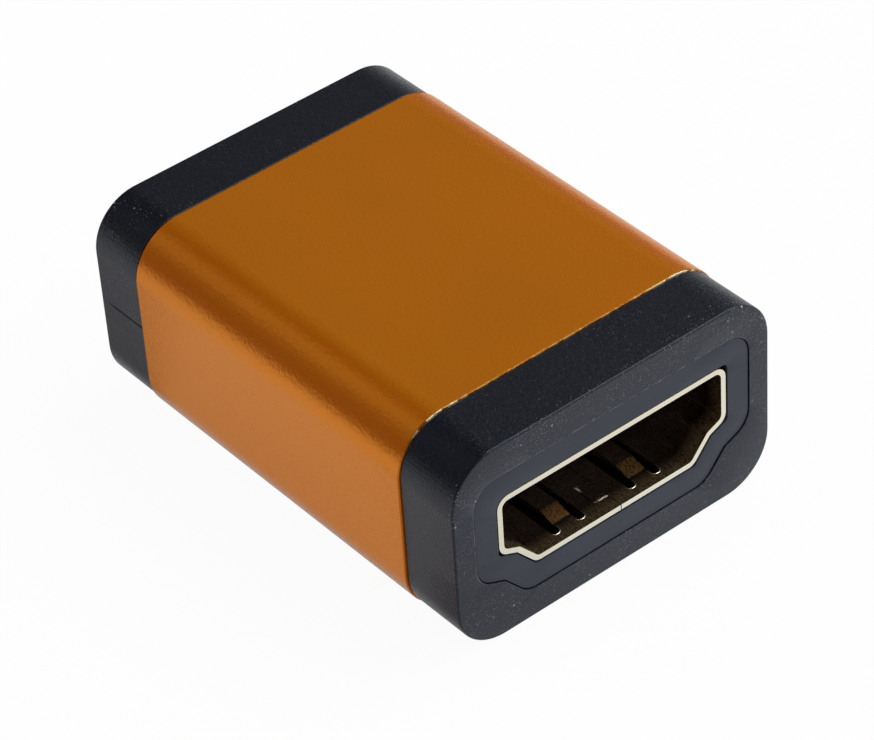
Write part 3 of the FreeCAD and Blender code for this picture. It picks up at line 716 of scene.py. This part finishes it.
def shell_finish(tree, shader, finish):
    """Champagne plating on stamped sheet: pale on the cut mouth, painted brown and dark further in as painted
    shade, with painted light on the fingers' ramps and painted highlights on the burrs.
    """
    at = tree.split(tree.position())
    depth = depth_in_socket(tree, at)
    marks = stretched_noise(tree, (9000, 3000, 9000), detail=3.0)
    clouds = tree.spread(stretched_noise(tree, (500, 500, 500)), 0.35, 0.65)
    grain = grain_height(tree, 0.05 * MM, 0.6)
    speckle = effect(tree, "fine_grain", Grain=0.28 * MM, Roughness=0.6)["Mask"]
    ramp = tree.spread(tree.absolute(tree.facing()["Y"]), 0.02, 0.26)
    slots, key = burrs(tree, at, depth)
    burr = tree.maths("MAXIMUM", slots, key)

    pale = tree.blend(clouds, finish.shell, AGED_PLATING)
    # Painted shade: past the cut mouth the plating is painted warm, then dark deeper in; ramps that face the
    # mouth are painted lighter as painted light.
    warm = tree.blend(speckle, *WARM_PLATING)
    dark = tree.blend(ramp, tree.blend(speckle, *PAINTED_PLATING_SHADE), tree.blend(clouds, *PAINTED_RAMP_LIGHT))
    inside = tree.blend(tree.spread(depth, 0.4 * MM, 1.1 * MM), warm, dark)
    tone = tree.blend(tree.spread(depth, 0.02 * MM, 0.09 * MM), pale, inside)
    # Painted highlights: the burrs, raised in the bump below, are painted near white, and bare makes the
    # key's burrs less metallic so that they show bright.
    tone = tree.blend(tree.spread(burr, 0.0, 0.4), tone, PAINTED_BURR_HIGHLIGHT)
    dulled = tree.times(tree.spread(depth, 1.2 * MM, 3.0 * MM), tree.spread(ramp, 0.0, 1.0, 0.13, 0.0))
    bare = tree.maths("MULTIPLY_ADD", key, -0.75, 1.0)
    height = tree.plus(marks, tree.times(grain, 0.6))
    height = tree.times(height, tree.spread(ramp, 0.0, 1.0, 1.0, 0.1))
    height = tree.maths("MULTIPLY_ADD", burr, 28.0, height)
    tree.set(
        shader, Base_Color=tone, Metallic=tree.times(bare, tree.minus(1.0, dulled)),
        Roughness=tree.spread(marks, 0.3, 0.7, 0.24, 0.32), Normal=bumped(tree, height, 0.5, 0.0022 * MM),
    )


def insulator_finish(tree, shader, finish):
    """Black glass-filled nylon."""
    grain = grain_height(tree, 0.08 * MM, 0.6)
    fibres = tree.spread(stretched_noise(tree, (3000, 12000, 3000)), 0.4, 0.7)
    tree.set(
        shader, Base_Color=tree.blend(fibres, finish.insulator, lighter(finish.insulator, 2.2)),
        Roughness=tree.spread(grain, 0.3, 0.7, 0.4, 0.55), Normal=bumped(tree, grain, 0.4, 0.008 * MM),
    )


def contact_finish(tree, shader, finish):
    """Gold plating with faint stamping lines."""
    marks = stretched_noise(tree, (20000, 1500, 20000))
    tree.set(
        shader, Base_Color=drifting(tree, marks, finish.contact, 0.9, 1.1), Metallic=1.0,
        Roughness=tree.spread(marks, 0.3, 0.7, 0.18, 0.3), Normal=bumped(tree, marks, 0.3, 0.004 * MM),
    )


def board_finish(tree, shader, finish):
    """Green solder mask over a faint weave, with pale cut edges of bare laminate."""
    weave = tree.add(
        "TexWave", {"wave_type": "BANDS", "bands_direction": "DIAGONAL"},
        Vector=tree.position(), Scale=900.0, Distortion=1.5,
    ).outputs["Fac"]
    flat = tree.maths("GREATER_THAN", tree.absolute(tree.facing()["Z"]), 0.7)
    mask = tree.blend(weave, lighter(finish.board, 0.85), lighter(finish.board, 1.2))
    tree.set(
        shader, Base_Color=tree.blend(flat, BARE_LAMINATE, mask),
        Roughness=tree.maths("MULTIPLY_ADD", flat, -0.35, 0.7), Normal=bumped(tree, weave, 0.2, 0.01 * MM),
    )


# The record's slots, each with its material's name and the function that fills it.
MATERIALS = {
    "orange_anodised": ("orange_anodised_aluminium", sleeve_finish),
    "cap_plastic": ("black_spark_textured_plastic", cap_finish),
    "inner_plastic": ("smooth_grey_plastic", mould_finish),
    "plated_shell": ("champagne_plated_sheet", shell_finish),
    "insulator_plastic": ("black_insulator", insulator_finish),
    "gold_contact": ("gold_plated_contact", contact_finish),
    "circuit_board": ("green_circuit_board", board_finish),
}


def finish_for(slot):
    """A slot's material, made when first asked for."""
    name, fill = MATERIALS[slot]
    if name not in bpy.data.materials:
        tree = cleared(bpy.data.materials.new(name))
        shader = tree.add("BsdfPrincipled")
        tree.add("OutputMaterial", Surface=shader.outputs["BSDF"])
        fill(tree, shader, bpy.context.scene.coupler_finish)
    return bpy.data.materials[name]


# Pieces


def box_of(node):
    """A node's lowest and highest corners."""
    low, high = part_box(node)
    return np.array(low), np.array(high)


def middle_height(node):
    """The height of a node's middle."""
    low, high = box_of(node)
    return (low[2] + high[2]) / 2


def inner_depth(node, end):
    """How deep a node reaches into the block, measured from the face of this end's cap."""
    low, high = box_of(node)
    return CAD_BOX[1][1] + (high[1] if end == "front" else -low[1])


def profile_mesh(name, profile, level, end):
    """A closed surface through pairs of outline and depth about a height, set at an end.

    Depths are measured from the front cap's face, and the rear end is the front one turned about Z.
    """
    outlines = at_same_angles([outline for outline, _ in profile], level)
    rings = [ring(outline, depth - CAD_BOX[1][1]) for outline, (_, depth) in zip(outlines, profile)]
    turn = 1 if end == "front" else -1
    return ring_mesh(name, np.array(rings) * (turn, turn, 1))


def socket_polygon(grow):
    """The socket's outline with sharp corners, moved out by `grow`."""
    sizes = bpy.context.scene.coupler_sizes
    floor = box_of("front_shell")[0][2] + sizes.sheet
    half = sizes.socket_width / 2
    right_half = [
        (half - sizes.shoulder_inset - sizes.slope_inset, floor),
        (half - sizes.shoulder_inset, floor + sizes.shoulder_top - sizes.shoulder_drop),
        (half, floor + sizes.shoulder_top),
        (half, floor + sizes.socket_height),
    ]
    return moved_out(corner_polygon(right_half), grow)


def socket_outline(grow, corner, bend):
    """The rounded outline of the socket, moved out by `grow`."""
    radii = [corner, bend, corner, corner]
    return rounded(socket_polygon(grow), radii + radii[::-1])


class COUPLER_OT_sleeve(bpy.types.Operator):
    """Build the coloured sleeve with its broken cut edges"""

    bl_idname = "coupler.sleeve"
    bl_label = "Sleeve"

    def execute(self, context):
        sizes = context.scene.coupler_sizes
        low, high = box_of("sleeve")
        bevel, wall = sizes.sleeve_bevel, sizes.sleeve_wall

        def section(inset, depth):
            size, corner = (high - low)[::2] - 2 * inset, sizes.sleeve_corner - inset
            return ring(rounded_rectangle(*size, corner, middle_height("sleeve")), depth)

        rings = [
            section(bevel, low[1]), section(0, low[1] + bevel), section(0, high[1] - bevel),
            section(bevel, high[1]), section(wall, high[1]), section(wall, low[1]),
        ]
        new_piece("sleeve_extrusion", ring_mesh("sleeve_surface", rings), "orange_anodised", ["sleeve"])
        return {"FINISHED"}


class COUPLER_OT_caps(bpy.types.Operator):
    """Build the two end caps, with their rounded faces and shaped apertures"""

    bl_idname = "coupler.caps"
    bl_label = "End caps"

    def execute(self, context):
        for end in ENDS:
            mesh = profile_mesh(f"{end}_cap_surface", *self.profile(end), end)
            new_piece(f"{end}_cap_moulding", mesh, "cap_plastic", [f"{end}_cap"])
        return {"FINISHED"}

    def profile(self, end):
        """Outlines from the aperture's lip to the skirt's end and round to the face, and their height."""
        sizes = bpy.context.scene.coupler_sizes
        low, high = box_of("sleeve")
        level = middle_height("sleeve")
        cap_low, cap_high = box_of(f"{end}_cap")
        shown = low[1] - cap_low[1] if end == "front" else cap_high[1] - high[1]
        depth = shown + sizes.skirt_length
        width_height = (high - low)[::2]
        steps = (box_of("front_cap")[0] - low)[::2]
        cap_size, cap_corner = width_height - 2 * steps, sizes.sleeve_corner - steps[0]
        inset = sizes.sleeve_wall + sizes.skirt_gap
        skirt_size, skirt_corner = width_height - 2 * inset, sizes.sleeve_corner - inset
        grow = sizes.sheet + sizes.shell_gap + sizes.mould_wall + sizes.aperture_gap
        skirt_wall = skirt_size[0] / 2 - sizes.socket_width / 2 - grow - sizes.cavity_ease

        def block(smaller):
            return rounded_rectangle(*(cap_size - 2 * smaller), cap_corner - smaller, level)

        def aperture(wider):
            corner = sizes.mould_corner + sizes.aperture_gap + wider
            bend = sizes.mould_bend - sizes.aperture_gap - wider
            return socket_outline(grow + wider, corner, bend)

        skirt = rounded_rectangle(*skirt_size, skirt_corner, level)
        cavity = rounded_rectangle(*(skirt_size - 2 * skirt_wall), skirt_corner - skirt_wall, level)
        bevel = sizes.cap_bevel
        profile = soft_edge(aperture, sizes.lip_round, 3)
        profile += [
            (aperture(0), sizes.cap_plate), (cavity, sizes.cap_plate), (cavity, depth), (skirt, depth),
            (skirt, shown), (block(bevel), shown), (block(0), shown - bevel),
        ]
        profile += soft_edge(block, sizes.cap_round, 6)[::-1]
        return profile, level


class COUPLER_OT_inner_moulds(bpy.types.Operator):
    """Build the inner mouldings, whose noses show around the sockets"""

    bl_idname = "coupler.inner_moulds"
    bl_label = "Inner mouldings"

    def execute(self, context):
        for end in ENDS:
            node = f"{end}_inner_mould"
            mesh = profile_mesh(f"{node}_surface", *self.profile(end), end)
            new_piece(f"{end}_inner_moulding", mesh, "inner_plastic", [node])
        return {"FINISHED"}

    def profile(self, end):
        """Outlines of the nose, block, board's chamber and shell's bore, and the board's height."""
        sizes = bpy.context.scene.coupler_sizes
        node = f"{end}_inner_mould"
        low, high = box_of(node)
        block_start = inner_depth(f"{end}_cap", end) + sizes.seat_gap
        far_end = inner_depth(node, end)
        bore_end = inner_depth("front_insulator", "front") + sizes.seat_gap
        bore_grow = sizes.sheet + sizes.shell_gap
        nose_grow = bore_grow + sizes.mould_wall
        board_level = middle_height("circuit_board")
        block_corner = sizes.sleeve_corner - sizes.sleeve_wall - sizes.skirt_gap
        block = rounded_rectangle(*(high - low)[::2], block_corner, middle_height(node))
        chamber_width = sizes.socket_width + 2 * (sizes.sheet + sizes.chamber_gap)
        chamber = rounded_rectangle(chamber_width, sizes.chamber_height, SHARP, board_level)

        def nose(smaller):
            corner = sizes.mould_corner - smaller
            return socket_outline(nose_grow - smaller, corner, sizes.mould_bend + smaller)

        def bore(wider):
            loose, snug = sizes.shell_bore_corner + wider, sizes.shell_snug_corner + wider
            radii = [loose, SHARP, loose, loose, snug, loose, SHARP, loose]
            return rounded(socket_polygon(bore_grow + wider), radii)

        edge, face = sizes.mould_edge, sizes.mould_recess
        profile = soft_edge(nose, edge, 3, face)
        profile += [
            (nose(0), block_start), (block, block_start), (block, far_end), (chamber, far_end),
            (chamber, bore_end), (bore(0), bore_end),
        ]
        profile += soft_edge(bore, edge, 3, face)[::-1]
        return profile, board_level


class COUPLER_OT_shells(bpy.types.Operator):
    """Finish the plated socket shells, with their cut edges softened"""

    bl_idname = "coupler.shells"
    bl_label = "Socket shells"

    def execute(self, context):
        width = context.scene.coupler_sizes.shell_edge
        for end in ENDS:
            softened_copy(f"{end}_shell", f"{end}_socket_shell", "plated_shell", width, segments=3)
        return {"FINISHED"}


class COUPLER_OT_insulators(bpy.types.Operator):
    """Finish the insulators with their grooved tongues"""

    bl_idname = "coupler.insulators"
    bl_label = "Insulators"

    def execute(self, context):
        width = context.scene.coupler_sizes.insulator_edge
        for end in ENDS:
            name = f"{end}_tongue_and_base"
            softened_copy(f"{end}_insulator", name, "insulator_plastic", width, segments=1)
        return {"FINISHED"}


class COUPLER_OT_contacts(bpy.types.Operator):
    """Finish the gold plated contacts"""

    bl_idname = "coupler.contacts"
    bl_label = "Contacts"

    def execute(self, context):
        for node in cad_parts:
            if "_contact_" in node:
                dress(node, "gold_contact")
        return {"FINISHED"}


class COUPLER_OT_board(bpy.types.Operator):
    """Finish the circuit board between the sockets"""

    bl_idname = "coupler.board"
    bl_label = "Circuit board"

    def execute(self, context):
        dress("circuit_board", "circuit_board")
        return {"FINISHED"}


# Stage


def towards(turn, rise):
    """The direction from the object to a place at this azimuth and elevation, of length 1."""
    return Vector((math.sin(turn) * math.cos(rise), -math.cos(turn) * math.cos(rise), math.sin(rise)))


def add_camera(studio):
    """The camera at the photograph's angle: it looks at the aim from the azimuth and elevation."""
    back = towards(studio.azimuth, studio.elevation)
    right = Vector((0, 0, 1)).cross(back).normalized()
    up = back.cross(right)
    axes = Matrix((right, up, back)).transposed() @ Matrix.Rotation(studio.roll, 3, "Z")
    camera = bpy.data.objects.new("camera", bpy.data.cameras.new("camera"))
    camera.matrix_world = Matrix.Translation(Vector(studio.aim) + back * studio.distance) @ axes.to_4x4()
    camera.data.lens = studio.lens
    camera.data.shift_x = studio.shift_x
    camera.data.shift_y = studio.shift_y
    camera.data.clip_start = 5 * MM
    bpy.context.scene.collection.objects.link(camera)
    bpy.context.scene.camera = camera


def add_softbox(name, turn, rise, distance, size, power):
    """A large soft lamp aimed at the object, its azimuth and elevation in degrees."""
    lamp = bpy.data.lights.new(name, "AREA")
    lamp.shape = "RECTANGLE"
    lamp.size, lamp.size_y = size
    lamp.energy = power
    box = bpy.data.objects.new(name, lamp)
    back = towards(math.radians(turn), math.radians(rise))
    box.location = back * distance
    box.rotation_euler = back.to_track_quat("Z", "Y").to_euler()
    bpy.context.scene.collection.objects.link(box)


def seen_plainly(tree, path):
    """1 for rays straight from the camera or through glass."""
    return tree.maths("MAXIMUM", path["Is Camera Ray"], path["Is Transmission Ray"])


def add_world():
    """A plain soft sky for light, white where the camera sees it, and a dim ceiling in reflections."""
    world = bpy.data.worlds.new("studio")
    tree = cleared(world)
    up = tree.split(tree.add("TexCoord").outputs["Generated"])
    right = tree.spread(up["X"], 0.02, 0.48, 0.01, 0.168)
    left = tree.spread(up["X"], -0.55, -0.2, 0.125, 0.0)
    glow = tree.times(tree.spread(up["X"], 0.3, 0.7), tree.spread(up["Z"], 0.1, 0.6, 0.14, 0.0))
    below = tree.spread(up["Z"], -0.06, 0.0, 0.7, 0.0)
    ceiling = tree.maths("MAXIMUM", tree.plus(right, left, glow), below)
    light, mirrored, white = (
        tree.add("Background", Color=WHITE, Strength=strength).outputs[0]
        for strength in (0.5, ceiling, 1.0)
    )
    path = tree.add("LightPath").outputs
    reflected = tree.mixed(path["Is Glossy Ray"], light, mirrored)
    shown = tree.mixed(seen_plainly(tree, path), reflected, white)
    tree.add("OutputWorld", Surface=shown)
    bpy.context.scene.world = world


def mirrored_tone(tree, at):
    """The floor's colour in reflections: painted shade beside both caps, and painted light and shade in front
    of the block.
    """
    along = tree.maths("MULTIPLY_ADD", at["X"], 1.3, at["Y"])
    left = tree.times(tree.maths("LESS_THAN", at["X"], -10.3 * MM),
                      tree.spread(at["X"], -26 * MM, -21 * MM))
    near_shade = tree.times(left, tree.spread(along, -26 * MM, -24.3 * MM, 1.0, 0.0))
    far_shade = tree.times(left, tree.spread(along, -3.5 * MM, -1.5 * MM))
    # Painted light near the front of the block, and painted shade further off and to the left.
    in_front = tree.spread(at["Y"], -14.5 * MM, -14 * MM, 1.0, 0.0)
    outward = tree.blend(tree.spread(at["Y"], -25 * MM, -19 * MM), PAINTED_FAR_FRONT_SHADE, PAINTED_NEAR_FRONT_LIGHT)
    front = tree.blend(tree.spread(at["X"], -6 * MM, 2 * MM, 0.22, 0.0), outward, PAINTED_LEFT_FRONT_SHADE)
    tone = tree.blend(in_front, WHITE, front)
    tone = tree.blend(near_shade, tone, NEAR_SHADE)
    return tree.blend(far_shade, tone, FAR_SHADE)


def add_floor(studio):
    """A pale floor that takes the object's shadow, and is see-through from below.

    It is nearly plain white for the camera, and partly so for reflections, which see its shadow and painted
    light and shade, dimmed far to the left.
    """
    half = studio.floor_size / 2
    level = -0.01 * MM
    floor_corners = [(-half, -half, level), (half, -half, level), (half, half, level), (-half, half, level)]
    mesh = bpy.data.meshes.new("floor")
    mesh.from_pydata(floor_corners, [], [(0, 1, 2, 3)])
    material = bpy.data.materials.new("pale_floor")
    tree = cleared(material)
    at = tree.split(tree.position())
    path = tree.add("LightPath").outputs
    mirrored = path["Is Glossy Ray"]
    # Painted shade: in reflections the floor is dimmed far to the left.
    far_off = tree.spread(at["X"], -160 * MM, -60 * MM, 0.7, 0.0)
    matt = tree.add("BsdfDiffuse", Color=(0.9, 0.9, 0.9))
    white = tree.add(
        "Emission", Color=tree.blend(mirrored, WHITE, mirrored_tone(tree, at)),
        Strength=tree.minus(1.0, tree.times(mirrored, far_off)),
    )
    plain = tree.times(seen_plainly(tree, path), 0.95)
    share = tree.maths("MAXIMUM", plain, tree.times(mirrored, 0.6))
    above = tree.mixed(share, matt.outputs[0], white.outputs[0])
    clear = tree.add("BsdfTransparent").outputs[0]
    backfacing = tree.add("NewGeometry").outputs["Backfacing"]
    tree.add("OutputMaterial", Surface=tree.mixed(backfacing, above, clear))
    mesh.materials.append(material)
    floor = bpy.data.objects.new("floor", mesh)
    bpy.context.scene.collection.objects.link(floor)


class COUPLER_OT_studio(bpy.types.Operator):
    """Set up the floor, lamps and camera"""

    bl_idname = "coupler.studio"
    bl_label = "Studio"

    def execute(self, context):
        studio = context.scene.coupler_studio
        context.scene.view_settings.view_transform = "Standard"
        add_world()
        add_floor(studio)
        add_softbox("key_softbox", 75, 50, 0.5, (0.4, 0.4), 1.4)
        add_softbox("fill_softbox", 36, 33, 0.5, (0.4, 0.4), 0.42)
        add_softbox("strip_softbox", 207, 46, 1.0, (0.36, 0.6), 0.235)
        add_camera(studio)
        return {"FINISHED"}


OPERATORS = (
    COUPLER_OT_sleeve,
    COUPLER_OT_caps,
    COUPLER_OT_inner_moulds,
    COUPLER_OT_shells,
    COUPLER_OT_insulators,
    COUPLER_OT_contacts,
    COUPLER_OT_board,
    COUPLER_OT_studio,
)


class COUPLER_PT_panel(bpy.types.Panel):
    """Lists the coupler's pieces and its sizes"""

    bl_label = "Coupler"
    bl_idname = "COUPLER_PT_panel"
    bl_space_type = "VIEW_3D"
    bl_region_type = "UI"
    bl_category = "Coupler"

    def draw(self, context):
        layout = self.layout
        for operator in OPERATORS:
            layout.operator(operator.bl_idname)
        for name in GROUPS:
            group = getattr(context.scene, name)
            box = layout.box()
            for prop in group.bl_rna.properties:
                if prop.identifier not in ("rna_type", "name"):
                    box.prop(group, prop.identifier)


GROUPS = {
    "coupler_sizes": CouplerSizes,
    "coupler_finish": CouplerFinish,
    "coupler_studio": CouplerStudio,
}


def register():
    """Registers the classes and hangs the property groups on the scene."""
    for item in (*GROUPS.values(), *OPERATORS, COUPLER_PT_panel):
        bpy.utils.register_class(item)
    for name, group in GROUPS.items():
        setattr(bpy.types.Scene, name, PointerProperty(type=group))


def unregister():
    """Takes the property groups off the scene and unregisters the classes."""
    for name in GROUPS:
        delattr(bpy.types.Scene, name)
    for item in reversed((*GROUPS.values(), *OPERATORS, COUPLER_PT_panel)):
        bpy.utils.unregister_class(item)


def main():
    """Builds every piece and the studio."""
    register()
    bpy.ops.coupler.sleeve()
    bpy.ops.coupler.caps()
    bpy.ops.coupler.inner_moulds()
    bpy.ops.coupler.shells()
    bpy.ops.coupler.insulators()
    bpy.ops.coupler.contacts()
    bpy.ops.coupler.board()
    bpy.ops.coupler.studio()


if __name__ == "__main__":
    main()
